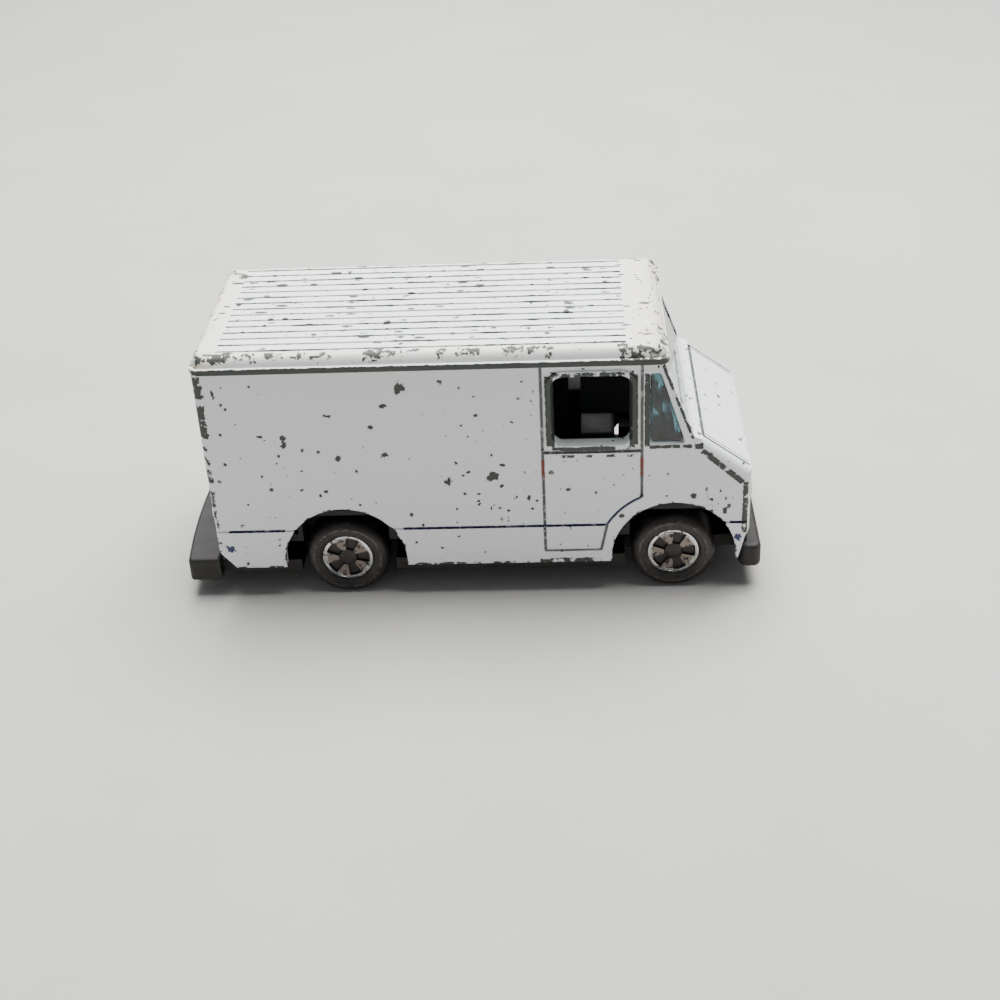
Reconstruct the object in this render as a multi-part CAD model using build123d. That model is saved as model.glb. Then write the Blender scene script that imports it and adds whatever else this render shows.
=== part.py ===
from build123d import *
import math
import os

# A die-cast toy delivery van about 75 mm long.  +X is the front, +Y the left side, +Z is up.
# The origin lies on the ground, midway between the two bumper faces, on the centre plane.

# --- overall sizes, millimetres ---
WHEELBASE = 42.0
REAR_OVERHANG = 16.5            # rear axle to the body's rear face
FRONT_OVERHANG = 9.5            # front axle to the nose
STEP_REACH = 5.1                # rear step beyond the body, at its middle
BUMPER_REACH = 1.7              # front bumper beyond the nose
BUMPER_THICK = 2.7
BUMPER_HEIGHT = 3.3
BODY_WIDTH = 27.5
ROOF_Z = 34.9
WHEEL_DIAMETER = 10.66
WHEEL_WIDTH = 4.6
WALL = 1.4
FIT = 0.15                      # gap between pieces that are assembled and stay still

# --- heights above the ground ---
BASE_UNDER_Z = 3.0
BASE_THICK = 1.7
SKIRT_Z = 4.6                   # lower edge of the body's sides
FLOOR_Z = 8.6                   # top of the load floor
FLOOR_THICK = 1.0
BELT_Z = 10.15                  # groove along the side
HOOD_FRONT_Z = 17.6
HOOD_REAR_Z = 22.2
SCREEN_FOOT_Z = 22.6
SILL_Z = 21.65                  # lower edge of the side windows
LINTEL_DROP = 3.7               # roof top down to the side windows' upper edge
RAIL_DROP = 1.35                # roof top down to the drip rail's upper edge
RAIL_HEIGHT = 0.9
RAIL_PROUD = 0.4

# --- front end, measured forward from the front axle ---
SCREEN_TOP_X = -1.5
SCREEN_FOOT_X = 2.3
COWL_X = 3.3
BROW_X = -0.85                  # roof's foremost edge
BROW_RADIUS = 2.3
HOOD_EDGE_RADIUS = 1.1
NOSE_EDGE_RADIUS = 0.5          # where the hood meets the nose
NOSE_EDGE_DROP = 0.1
CORNER_RADIUS = 0.6             # vertical rear corners
NOSE_RADIUS = 0.9               # vertical front corners
PILLAR_RADIUS = 0.35            # windscreen pillars
SHOULDER_RADIUS = 1.3           # roof's long edges
ROOF_CORNER = 1.5

# --- door, measured rearward from the front axle ---
DOOR_FRONT_X = 4.12
DOOR_LENGTH = 12.2
STEP_LINE_Z = 6.4
ARC_GROOVE_RADIUS = 9.75
GROOVE_WIDTH = 0.34
GROOVE_DEPTH = 0.25
DOOR_RECESS = 0.3
LEDGE_Z = 20.6
DOOR_WINDOW_MARGIN = 1.15       # door groove to window edge
WINDOW_CORNER = 1.5
BEAD_WIDTH = 0.62
QUARTER_WINDOW_REAR = 0.9       # door groove to the quarter window
QUARTER_WINDOW_CORNER = 0.42
SCREEN_FRAME = 0.75             # frame around the windscreen
SCREEN_CORNER = 0.8
PANE_GAP = 0.22                 # around a quarter light in its window
WINDOW_TAPER = 13.0             # degrees of draft in the reveals

# --- roof grooves ---
ROOF_GROOVES = 15
GROOVE_SPAN = 24.1              # first groove to last
GROOVE_START = 3.15             # in from the rear face
GROOVE_END = 6.0                # back from the front axle
ROOF_GROOVE_WIDTH = 0.42
ROOF_GROOVE_DEPTH = 0.28

# --- wheels and axles ---
ARCH_GAP = 2.55                 # arch radius beyond the wheel
WHEEL_INSET = 0.55              # tyre face inboard of the body side
AXLE_DIAMETER = 0.9
AXLE_HEAD_DIAMETER = 1.3
AXLE_HEAD_LENGTH = 0.6
RUNNING_GAP = 0.05
AXLE_SLOT_GAP = 0.06            # between an axle and its cradle
TYRE_SHOULDER = 1.15
HUB_RING_OUTER = 3.2
HUB_RING_INNER = 2.8
HUB_RECESS = 0.75
CAP_RADIUS = 1.25
SPOKES = 5
SPOKE_ANGLE = 36.0              # width of a spoke at the ring
FIRST_SPOKE = 35.0              # degrees
FOIL_THICK = 0.06

# --- rear doors ---
DOORWAY_WIDTH = 19.6
DOORWAY_SILL_Z = 9.4
DOORWAY_DROP = 4.6              # roof top down to the doorway's upper edge
LEAF_THICK = 1.1
LEAF_GAP = 0.2
PIN_DIAMETER = 0.8
PIN_LENGTH = 0.8
PANE_MARGIN = 1.575             # leaf edge to its window, and to its lower panel
PANEL_MARGIN = 1.175
PANE_HEIGHT = 6.4
PANE_DEPTH = 0.3
PANEL_DEPTH = 0.22
HANDLE_PROUD = 0.45
STRAP_PROUD = 0.25
SHELF_DEPTH = 6.6               # cast floor behind the doorway

# --- posts that hold the base on ---
POST_DIAMETER = 3.0
POST_HEAD_DIAMETER = 4.2
POST_HEAD_THICK = 0.6
POST_CUP_DEPTH = 0.9

# --- lamps and grille ---
HEADLAMP_RADIUS = 1.9
HEADLAMP_INSET = 4.2            # body side to the lamp's middle
HEADLAMP_RISE = 3.2             # belt groove up to it
TURN_LAMP_RISE = 6.0
TURN_LAMP_RADIUS = 0.65
TAIL_LAMP_RADIUS = 0.95
TAIL_LAMP_INSET = 1.9
GRILLE_SLATS = 5
GRILLE_PITCH = 1.05
GRILLE_SLOT = 0.6
GRILLE_HALF = 5.2
GRILLE_DEPTH = 0.4

# --- glazing and interior ---
GLASS_THICK = 0.8
ROOF_PIN_RADIUS = 0.6           # pins that locate the glazing under the roof
BULKHEAD_THICK = 0.9
SEAT_TOP_Z = 14.2
SEAT_Y = 5.6                    # middle of the driver's seat and of the steering
SEAT_WIDTH = 6.0
SEAT_LENGTH = 5.4
SEAT_BACK_RISE = 6.4
STEERING_RADIUS = 1.9
STEERING_TILT = 38.0
DASH_DROP = 2.2                 # window sill down to the dash
CUT = 1.0                       # how far a cutting block runs past the surface it cuts

# --- worked out from the sizes above ---
LENGTH = STEP_REACH + REAR_OVERHANG + WHEELBASE + FRONT_OVERHANG + BUMPER_REACH
REAR_AXLE_X = -LENGTH / 2 + STEP_REACH + REAR_OVERHANG
FRONT_AXLE_X = REAR_AXLE_X + WHEELBASE
REAR_X = REAR_AXLE_X - REAR_OVERHANG
NOSE_X = FRONT_AXLE_X + FRONT_OVERHANG
HALF = BODY_WIDTH / 2
INNER_HALF = HALF - WALL
WHEEL_RADIUS = WHEEL_DIAMETER / 2
AXLE_Z = WHEEL_RADIUS
ARCH_RADIUS = WHEEL_RADIUS + ARCH_GAP
TYRE_FACE_Y = HALF - WHEEL_INSET
WHEEL_BACK_Y = TYRE_FACE_Y - WHEEL_WIDTH
BASE_TOP_Z = BASE_UNDER_Z + BASE_THICK
FLOOR_UNDER_Z = FLOOR_Z - FLOOR_THICK
LINTEL_Z = ROOF_Z - LINTEL_DROP
RAIL_TOP_Z = ROOF_Z - RAIL_DROP
RAIL_FOOT_Z = RAIL_TOP_Z - RAIL_HEIGHT
CEILING_Z = ROOF_Z - WALL
DOOR_FRONT = FRONT_AXLE_X - DOOR_FRONT_X
DOOR_REAR = DOOR_FRONT - DOOR_LENGTH
DOORWAY_TOP_Z = ROOF_Z - DOORWAY_DROP
SCREEN_TOP = (FRONT_AXLE_X + SCREEN_TOP_X, RAIL_FOOT_Z)
SCREEN_FOOT = (FRONT_AXLE_X + SCREEN_FOOT_X, SCREEN_FOOT_Z)
COWL = (FRONT_AXLE_X + COWL_X, HOOD_REAR_Z)
HOOD_FRONT = (NOSE_X, HOOD_FRONT_Z)
NECK_HALF = WHEEL_BACK_Y - 0.4          # half-width of what passes between the wheels
NECK_REACH = WHEEL_RADIUS + 0.85        # and half its length
WHEEL_BOX_TOP_Z = AXLE_Z + WHEEL_RADIUS + 1.4
HUB_FACE_Y = TYRE_FACE_Y - HUB_RECESS
SPOKE_FACE_Y = TYRE_FACE_Y - 0.42
AXLE_END_Y = HUB_FACE_Y - 0.75
REAR_POST_X = REAR_X + 3.9
FRONT_POST_X = NOSE_X - 3.0
ROOF_FRONT_X = FRONT_AXLE_X + BROW_X
ROOF_PIN_X = FRONT_AXLE_X - 5.0
ROOF_PIN_Y = 6.0
SIDES = {"left": 1, "right": -1}
AXLES = {"rear": REAR_AXLE_X, "front": FRONT_AXLE_X}


# --- helpers ---

def box(x0, x1, y0, y1, z0, z1):
    """A block between two corners."""
    block = Box(x1 - x0, y1 - y0, z1 - z0)
    return Pos((x0 + x1) / 2, (y0 + y1) / 2, (z0 + z1) / 2) * block


def side_face(points):
    """A flat face in the XZ plane through (x, z) points."""
    return Plane.XZ * make_face(Polyline(*points, close=True))


def prism(points, half):
    """A side outline made solid from -half to +half across the body."""
    return extrude(side_face(points), amount=half, both=True)


def plan_rect(x0, x1, half, corner, z):
    """A rectangle with round corners, seen from above, at height z."""
    sheet = RectangleRounded(x1 - x0, 2 * half, corner)
    return Pos((x0 + x1) / 2, 0, z) * sheet


def rod_y(x, z, radius, y0, y1):
    """A round bar along Y."""
    return Pos(x, (y0 + y1) / 2, z) * Rot(90, 0, 0) * Cylinder(radius, y1 - y0)


def rod_z(x, y, radius, z0, z1):
    """A round bar along Z."""
    return Pos(x, y, (z0 + z1) / 2) * Cylinder(radius, z1 - z0)


def both_sides(shape):
    """A shape and its mirror image across the centre plane."""
    return [shape, mirror(shape, Plane.XZ)]


def on_side(sketch, depth, y_out, taper=0.0):
    """A sketch drawn as (x, z), cut or raised from y = -y_out inwards on the right side."""
    plane = Plane(origin=(0, -y_out, 0), x_dir=(1, 0, 0), z_dir=(0, -1, 0))
    return extrude(plane * sketch, amount=-depth, taper=taper)


def rect_sketch(x0, x1, z0, z1, corner=0.0):
    """A rectangle in (x, z) with an optional corner radius."""
    if corner > 0:
        sheet = RectangleRounded(x1 - x0, z1 - z0, corner)
    else:
        sheet = Rectangle(x1 - x0, z1 - z0)
    return Pos((x0 + x1) / 2, (z0 + z1) / 2) * sheet


# --- body shell: one zinc casting ---

def screen_x(z):
    """The windscreen plane's x at height z."""
    run = SCREEN_TOP[0] - SCREEN_FOOT[0]
    return SCREEN_FOOT[0] + run * (z - SCREEN_FOOT[1]) / (SCREEN_TOP[1] - SCREEN_FOOT[1])


def leg_points():
    """The casting's nose edge from the hood's front down the short leg behind the bumper."""
    return [
        (NOSE_X, SKIRT_Z + 4.3),
        (NOSE_X - 0.55, SKIRT_Z + 3.4),
        (NOSE_X - 1.35, SKIRT_Z + 0.2),
        (NOSE_X - 2.55, SKIRT_Z + 0.2),
        (NOSE_X - 3.5, BELT_Z + 0.2),
    ]


def outer_sides():
    """The solid block of the body below the roof, with rounded vertical corners."""
    outline = [
        (REAR_X + 2.15, SKIRT_Z),
        (REAR_X, SKIRT_Z + 2.6),
        (REAR_X, RAIL_TOP_Z),
        (SCREEN_TOP[0], RAIL_TOP_Z),
        SCREEN_TOP,
        SCREEN_FOOT,
        COWL,
        HOOD_FRONT,
        (NOSE_X, SKIRT_Z),
    ]
    plan = Pos((REAR_X + NOSE_X) / 2, 0, 0) * Rectangle(NOSE_X - REAR_X, 2 * HALF)
    plan = fillet(plan.vertices().group_by(Axis.X)[-1], NOSE_RADIUS)
    plan = fillet(plan.vertices().group_by(Axis.X)[0], CORNER_RADIUS)
    block = prism(outline, HALF) & extrude(plan, amount=ROOF_Z)
    block -= both_sides(edge_cutter(HOOD_FRONT, COWL, HOOD_EDGE_RADIUS, CUT))
    block -= both_sides(edge_cutter(SCREEN_FOOT, SCREEN_TOP, PILLAR_RADIUS))
    return block - nose_edge()


def nose_edge():
    """What rounds the edge where the hood's slope meets the nose."""
    radius = NOSE_EDGE_RADIUS
    x = NOSE_X - radius
    z = HOOD_FRONT_Z - NOSE_EDGE_DROP
    half = HALF + CUT
    corner = box(x, NOSE_X + CUT, -half, half, z, HOOD_FRONT_Z + CUT)
    return corner - rod_y(x, z, radius, -half - CUT, half + CUT)


def edge_cutter(foot, top, radius, beyond=0.0):
    """What rounds the left edge of a face that slopes from foot up to top, and beyond its foot."""
    run = (foot[0] - top[0], foot[1] - top[1])
    length = math.hypot(*run)
    down = (run[0] / length, 0, run[1] / length)
    plane = Plane(origin=(top[0], HALF, top[1]), x_dir=(0, 1, 0), z_dir=down)
    side = 2 * CUT + radius
    middle = CUT - radius / 2
    section = Pos(middle, middle) * Rectangle(side, side)
    section -= Pos(-radius, -radius) * Circle(radius)
    return extrude(plane * section, amount=length + beyond)


def roof_cap():
    """The crowned roof above the drip rail: rounded all round, with a deeper front brow."""
    low = RAIL_TOP_Z - 0.35
    cap = extrude(plan_rect(REAR_X, ROOF_FRONT_X, HALF, ROOF_CORNER, low), amount=ROOF_Z - low)
    cap = fillet(cap.edges().group_by(Axis.Z)[-1], SHOULDER_RADIUS)
    x = ROOF_FRONT_X - BROW_RADIUS
    z = ROOF_Z - BROW_RADIUS
    half = HALF + CUT
    corner = box(x, ROOF_FRONT_X + CUT, -half, half, z, ROOF_Z + CUT)
    return cap - (corner - rod_y(x, z, BROW_RADIUS, -half - CUT, half + CUT))


def drip_rail():
    """The bead that runs round the roof's foot."""
    ring = plan_rect(REAR_X - RAIL_PROUD / 2, ROOF_FRONT_X, HALF + RAIL_PROUD, ROOF_CORNER * 0.8, RAIL_FOOT_Z)
    rail = extrude(ring, amount=RAIL_HEIGHT)
    edges = [*rail.edges().group_by(Axis.Z)[-1], *rail.edges().group_by(Axis.Z)[0]]
    return fillet(edges, RAIL_PROUD * 0.6)


def cavity():
    """The hollow inside the body, open at the bottom."""
    outline = [
        (REAR_X + WALL, SKIRT_Z - 4),
        (REAR_X + WALL, CEILING_Z),
        (screen_x(CEILING_Z) - WALL * 1.25, CEILING_Z),
        (screen_x(SCREEN_FOOT_Z - WALL * 0.7) - WALL * 1.25, SCREEN_FOOT_Z - WALL * 0.7),
        (COWL[0] - WALL * 0.4, HOOD_REAR_Z - WALL * 1.15),
        (NOSE_X - WALL, HOOD_FRONT_Z - WALL * 0.55),
        (NOSE_X - WALL, SKIRT_Z - 4),
    ]
    return prism(outline, INNER_HALF)


def roof_grooves():
    """Round-bottomed grooves along the roof."""
    start = REAR_X + GROOVE_START
    end = FRONT_AXLE_X - GROOVE_END
    pitch = GROOVE_SPAN / (ROOF_GROOVES - 1)
    cuts = []
    for i in range(ROOF_GROOVES):
        y = -GROOVE_SPAN / 2 + i * pitch
        slot = SlotOverall(end - start, ROOF_GROOVE_WIDTH)
        slot = Pos((start + end) / 2, y, ROOF_Z - ROOF_GROOVE_DEPTH) * slot
        cuts.append(extrude(slot, amount=1.0))
    return cuts


def line_groove(x0, z0, x1, z1):
    """A straight groove sketch between two (x, z) points."""
    run = math.hypot(x1 - x0, z1 - z0)
    angle = math.degrees(math.atan2(z1 - z0, x1 - x0))
    bar = SlotCenterToCenter(run, GROOVE_WIDTH) if run > GROOVE_WIDTH else Circle(GROOVE_WIDTH / 2)
    return Pos((x0 + x1) / 2, (z0 + z1) / 2) * Rot(0, 0, angle) * bar


def arc_groove():
    """The door's lower front groove, concentric with the front wheel arch."""
    ring = Circle(ARC_GROOVE_RADIUS + GROOVE_WIDTH / 2) - Circle(ARC_GROOVE_RADIUS - GROOVE_WIDTH / 2)
    ring = Pos(FRONT_AXLE_X, AXLE_Z) * ring
    top = arc_top_z()
    window = rect_sketch(FRONT_AXLE_X - ARC_GROOVE_RADIUS - 1, DOOR_FRONT, BELT_Z, top)
    return ring & window


def arc_top_z():
    """Where the arc groove meets the door's straight front groove."""
    return AXLE_Z + math.sqrt(ARC_GROOVE_RADIUS ** 2 - DOOR_FRONT_X ** 2)


def step_front_x():
    """Where the arc groove meets the belt groove."""
    return FRONT_AXLE_X - math.sqrt(ARC_GROOVE_RADIUS ** 2 - (BELT_Z - AXLE_Z) ** 2)


def side_grooves():
    """Belt, door and step outlines, as sketches in (x, z)."""
    low_x = step_front_x() - 0.8
    return [
        line_groove(REAR_X - 1, BELT_Z, DOOR_REAR, BELT_Z),
        line_groove(DOOR_REAR, BELT_Z, step_front_x(), BELT_Z),
        line_groove(NOSE_X - 3.6, BELT_Z, NOSE_X + 1, BELT_Z),
        line_groove(DOOR_REAR, STEP_LINE_Z, DOOR_REAR, RAIL_FOOT_Z),
        line_groove(DOOR_FRONT, arc_top_z(), DOOR_FRONT, RAIL_FOOT_Z),
        line_groove(DOOR_REAR, STEP_LINE_Z, low_x, STEP_LINE_Z),
        line_groove(low_x, STEP_LINE_Z, step_front_x(), BELT_Z),
        arc_groove(),
    ]


def door_window(grow=0.0):
    """The door window's outline, let out by grow."""
    return rect_sketch(
        DOOR_REAR + DOOR_WINDOW_MARGIN - grow,
        DOOR_FRONT - DOOR_WINDOW_MARGIN + grow,
        SILL_Z - grow,
        LINTEL_Z + grow,
        WINDOW_CORNER + grow,
    )


def quarter_points(grow=0.0):
    """The four-sided quarter window between the door and the windscreen pillar."""
    rear = DOOR_FRONT + QUARTER_WINDOW_REAR - grow
    low = SILL_Z - grow
    high = LINTEL_Z + 0.25 + grow
    foot_front = screen_x(low) - 1.35 + grow
    head_front = screen_x(high) - 0.8 + grow
    return [(rear, low), (foot_front, low), (head_front, high), (rear, high)]


def quarter_window(grow=0.0):
    """The quarter window as a face with rounded corners."""
    face = make_face(Polyline(*quarter_points(grow), close=True))
    return fillet(face.vertices(), QUARTER_WINDOW_CORNER)


def side_details():
    """Everything cut into one side: grooves, the door's recess and both windows."""
    cuts = []
    for sketch in side_grooves():
        cuts.append(on_side(sketch, GROOVE_DEPTH + 1, HALF + 1))
    half_groove = GROOVE_WIDTH / 2
    recess = rect_sketch(DOOR_REAR + half_groove, DOOR_FRONT - half_groove, LEDGE_Z, RAIL_FOOT_Z - 0.3, 0.2)
    recess -= door_window(BEAD_WIDTH)
    cuts.append(on_side(recess, DOOR_RECESS + 1, HALF + 1))
    for window in (door_window(), quarter_window()):
        cuts.append(on_side(window, WALL + 0.6, HALF, WINDOW_TAPER))
        cuts.append(on_side(window, 1.0, HALF + 1))
    return cuts


def screen_plane(inset=0.0):
    """A plane on the windscreen slope, x across the body and y up the slope, inset inwards."""
    run = SCREEN_TOP[0] - SCREEN_FOOT[0]
    rise = SCREEN_TOP[1] - SCREEN_FOOT[1]
    slope = math.hypot(run, rise)
    normal = (rise / slope, 0, -run / slope)
    middle = ((SCREEN_TOP[0] + SCREEN_FOOT[0]) / 2, 0, (SCREEN_TOP[1] + SCREEN_FOOT[1]) / 2)
    origin = tuple(m - inset * n for m, n in zip(middle, normal))
    return Plane(origin=origin, x_dir=(0, 1, 0), z_dir=normal)


def screen_slope():
    """Length of the windscreen slope."""
    return math.hypot(SCREEN_TOP[0] - SCREEN_FOOT[0], SCREEN_TOP[1] - SCREEN_FOOT[1])


def screen_sketch(shrink=0.0):
    """The windscreen opening's outline on its slope, which leaves a frame around it."""
    width = 2 * (HALF - SCREEN_FRAME - shrink)
    sheet = RectangleRounded(width, screen_slope() - 1.0 - 2 * shrink, SCREEN_CORNER)
    return Pos(0, 0.1) * sheet


def hood_plane(inset=0.0):
    """A plane on the hood's slope, x across the body and y up the slope."""
    run = COWL[0] - HOOD_FRONT[0]
    rise = COWL[1] - HOOD_FRONT[1]
    slope = math.hypot(run, rise)
    normal = (rise / slope, 0, -run / slope)
    middle = ((COWL[0] + HOOD_FRONT[0]) / 2, 0, (COWL[1] + HOOD_FRONT[1]) / 2)
    origin = tuple(m - inset * n for m, n in zip(middle, normal))
    return Plane(origin=origin, x_dir=(0, 1, 0), z_dir=normal)


def hood_cuts():
    """The hood's outline grooves."""
    slope = math.hypot(COWL[0] - HOOD_FRONT[0], COWL[1] - HOOD_FRONT[1])
    edge = HALF - HOOD_EDGE_RADIUS - 0.1
    plane = hood_plane(GROOVE_DEPTH)
    cuts = []
    for y in (-edge, edge):
        cuts.append(plane * Pos(y, 0.1) * Rectangle(GROOVE_WIDTH, slope - 0.4))
    for y in (-edge + 0.75, edge - 0.75):
        cuts.append(plane * Pos(y, 0) * Rectangle(GROOVE_WIDTH * 0.6, slope - 1.0))
    cuts.append(plane * Pos(0, slope / 2 - 0.15) * Rectangle(2 * edge, GROOVE_WIDTH))
    return [extrude(face, amount=1.0) for face in cuts]


def grille_cuts():
    """A slatted grille sunk in the nose."""
    cuts = []
    for i in range(GRILLE_SLATS):
        z = BELT_Z + 1.3 + i * GRILLE_PITCH
        cuts.append(box(NOSE_X - GRILLE_DEPTH, NOSE_X + CUT, -GRILLE_HALF, GRILLE_HALF, z, z + GRILLE_SLOT))
    return cuts


def headlamps():
    """Cast lamp rims and lenses on the nose, and small turn lamps above them."""
    shapes = []
    z = BELT_Z + HEADLAMP_RISE
    bowl_radius = HEADLAMP_RADIUS - 0.4
    for y in (-HALF + HEADLAMP_INSET, HALF - HEADLAMP_INSET):
        rim = Pos(NOSE_X, y, z) * Rot(0, 90, 0) * Cylinder(HEADLAMP_RADIUS, 0.7)
        bowl = Pos(NOSE_X + 0.35, y, z) * Rot(0, 90, 0) * Cylinder(bowl_radius, 0.5)
        lens = Pos(NOSE_X - 2.4, y, z) * Sphere(2.72)
        lens &= box(NOSE_X - 0.3, NOSE_X + CUT, y - bowl_radius, y + bowl_radius, BELT_Z, z + HEADLAMP_RADIUS)
        shapes.append(rim - bowl + lens)
        turn = Pos(NOSE_X, y, BELT_Z + TURN_LAMP_RISE) * Rot(0, 90, 0) * Cylinder(TURN_LAMP_RADIUS, 0.5)
        shapes.append(turn)
    return shapes


def doorway_cuts():
    """The rear doorway, its hinge sockets and the sunken seat for the leaves."""
    half = DOORWAY_WIDTH / 2
    cuts = [box(REAR_X - 1, REAR_X + WALL + 1, -half, half, DOORWAY_SILL_Z, DOORWAY_TOP_Z)]
    for sign in SIDES.values():
        x, y = hinge_point(sign)
        radius = PIN_DIAMETER / 2 + RUNNING_GAP
        low = DOORWAY_SILL_Z - PIN_LENGTH - 0.1
        high = DOORWAY_TOP_Z + PIN_LENGTH + 0.1
        cuts.append(rod_z(x, y, radius, low, DOORWAY_SILL_Z + 0.5))
        cuts.append(rod_z(x, y, radius, DOORWAY_TOP_Z - 0.5, high))
    return cuts


def hinge_point(sign):
    """The plan position of a rear door's hinge axis."""
    return REAR_X + LEAF_THICK / 2 + 0.05, sign * (DOORWAY_WIDTH / 2 - LEAF_THICK / 2 - LEAF_GAP)


def tail_lamps():
    """Cast lamp bosses beside and above the rear doorway."""
    shapes = []
    for y in (-HALF + TAIL_LAMP_INSET, HALF - TAIL_LAMP_INSET):
        low = Cylinder(TAIL_LAMP_RADIUS, 0.5)
        high = Cylinder(TAIL_LAMP_RADIUS - 0.35, 0.4)
        shapes.append(Pos(REAR_X, y, BELT_Z + 2.2) * Rot(0, 90, 0) * low)
        shapes.append(Pos(REAR_X, y, DOORWAY_TOP_Z + 0.6) * Rot(0, 90, 0) * high)
    return shapes


def posts():
    """Two cast posts, peened over under the base."""
    shapes = []
    tops = {REAR_POST_X: FLOOR_UNDER_Z + 0.6, FRONT_POST_X: HOOD_FRONT_Z}
    for x, top in tops.items():
        shapes.append(rod_z(x, 0, POST_DIAMETER / 2, BASE_UNDER_Z + POST_CUP_DEPTH - POST_HEAD_THICK, top))
        foot = BASE_UNDER_Z + POST_CUP_DEPTH
        head = rod_z(x, 0, POST_HEAD_DIAMETER / 2, foot - POST_HEAD_THICK, foot - 0.02)
        shapes.append(fillet(head.edges().group_by(Axis.Z)[0], 0.3))
    return shapes


def roof_pins():
    """Short pins under the roof that locate the glazing's flange."""
    return [rod_z(ROOF_PIN_X, y, ROOF_PIN_RADIUS, CEILING_Z - 1.1, CEILING_Z + 0.4)
            for y in (-ROOF_PIN_Y, ROOF_PIN_Y)]


def body_shell():
    """The whole casting."""
    body = outer_sides() + roof_cap() + drip_rail()
    body -= cavity()
    body += box(REAR_X + WALL / 2, REAR_X + SHELF_DEPTH, -INNER_HALF - 0.2, INNER_HALF + 0.2,
                FLOOR_UNDER_Z, FLOOR_Z)
    body += roof_pins()
    body += headlamps()
    body += tail_lamps()
    body -= roof_grooves()
    for x in AXLES.values():
        for arch in both_sides(rod_y(x, AXLE_Z, ARCH_RADIUS, -HALF - 1, -INNER_HALF + 0.01)):
            body -= arch
    leg = leg_points()
    front_low = [leg[0], (NOSE_X + 2, SKIRT_Z + 4.3), (NOSE_X + 2, SKIRT_Z - 1),
                 (FRONT_AXLE_X, SKIRT_Z - 1), (FRONT_AXLE_X, AXLE_Z), leg[4], leg[3], leg[2], leg[1]]
    body -= prism(front_low, HALF + 1)
    body -= box(NOSE_X - 5, NOSE_X + 1, -INNER_HALF, INNER_HALF, SKIRT_Z - 1, SKIRT_Z + 3.6)
    body -= box(REAR_X - 1, REAR_X + 3, -INNER_HALF, INNER_HALF, SKIRT_Z - 1, SKIRT_Z + 2.6)
    body += posts()
    for cut in side_details():
        body -= both_sides(cut)
    body -= extrude(screen_plane(WALL + 1.2) * screen_sketch(), amount=WALL + 3)
    body -= hood_cuts()
    body -= grille_cuts()
    body -= doorway_cuts()
    return body


# --- base plate: one black moulding with both bumpers ---

def bumper():
    """The front bumper bar, with big rounded ends."""
    half = HALF - 0.45
    x1 = NOSE_X + BUMPER_REACH
    x0 = x1 - BUMPER_THICK
    bar = extrude(plan_rect(x0, x1, half, 0.9, BASE_UNDER_Z - 0.1), amount=BUMPER_HEIGHT)
    return fillet(bar.edges().group_by(Axis.Z)[-1] + bar.edges().group_by(Axis.Z)[0], 0.55)


def rear_step():
    """The rear step: a bar whose back edge bows outwards."""
    half = HALF - 0.35
    x_in = REAR_X - 0.2
    x_end = REAR_X - STEP_REACH + 0.8
    x_mid = REAR_X - STEP_REACH
    outline = Polyline((x_end, half), (x_in, half), (x_in, -half), (x_end, -half))
    bow = ThreePointArc((x_end, -half), (x_mid, 0), (x_end, half))
    face = Pos(0, 0, BASE_UNDER_Z - 0.6) * make_face(outline + bow)
    bar = extrude(face, amount=BUMPER_HEIGHT)
    bar = fillet(bar.edges().filter_by(Axis.Z).group_by(Axis.X)[0], 0.5)
    return fillet(bar.edges().group_by(Axis.Z)[-1] + bar.edges().group_by(Axis.Z)[0], 0.45)


def base_plan():
    """The plate's plan: full width, with necks between the wheels."""
    inner = INNER_HALF - FIT
    necks = [(x - NECK_REACH, x + NECK_REACH) for x in AXLES.values()]
    spans = [(REAR_X + WALL + FIT, necks[0][0]), (necks[0][1], necks[1][0])]
    plates = [box(a, b, -inner, inner, BASE_UNDER_Z, BASE_TOP_Z) for a, b in spans]
    core = box(REAR_X - 0.5, NOSE_X, -NECK_HALF, NECK_HALF, BASE_UNDER_Z, BASE_TOP_Z)
    return plates, core


def cradles():
    """Blocks that carry each axle in an open-topped slot."""
    shapes = []
    top = FLOOR_UNDER_Z - 0.8
    for x in AXLES.values():
        for side in both_sides(box(x - 1.9, x + 1.9, NECK_HALF - 2.4, NECK_HALF, BASE_TOP_Z - 0.2, top)):
            shapes.append(side)
    return shapes


def axle_slots():
    """The cradles' slots: a round seat below and straight walls above."""
    radius = AXLE_DIAMETER / 2 + AXLE_SLOT_GAP
    shapes = []
    for x in AXLES.values():
        shapes.append(rod_y(x, AXLE_Z, radius, -HALF, HALF))
        shapes.append(box(x - radius, x + radius, -HALF, HALF, AXLE_Z, FLOOR_UNDER_Z))
    return shapes


def base_relief():
    """Shallow recesses under the plate: frame rails, a tank and a drive line."""
    depth = 0.4
    z0 = BASE_UNDER_Z - 1
    z1 = BASE_UNDER_Z + depth
    mid = (REAR_AXLE_X + FRONT_AXLE_X) / 2
    reach = WHEELBASE / 2 - NECK_REACH - 1.5
    cuts = []
    for y in (-NECK_HALF + 1.2, NECK_HALF - 1.2):
        cuts.append(box(REAR_AXLE_X - 5, FRONT_AXLE_X + 4, y - 0.45, y + 0.45, z0, z1))
    cuts.append(box(mid - reach, mid + reach, NECK_HALF + 0.6, INNER_HALF - 1.2, z0, z1))
    cuts.append(box(mid - reach, mid + reach * 0.1, -INNER_HALF + 1.2, -NECK_HALF - 0.6, z0, z1))
    for i in range(4):
        x = mid + reach * 0.3 + i * 1.4
        cuts.append(box(x, x + 0.7, -INNER_HALF + 1.2, -NECK_HALF - 0.6, z0, z1))
    return cuts


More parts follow.
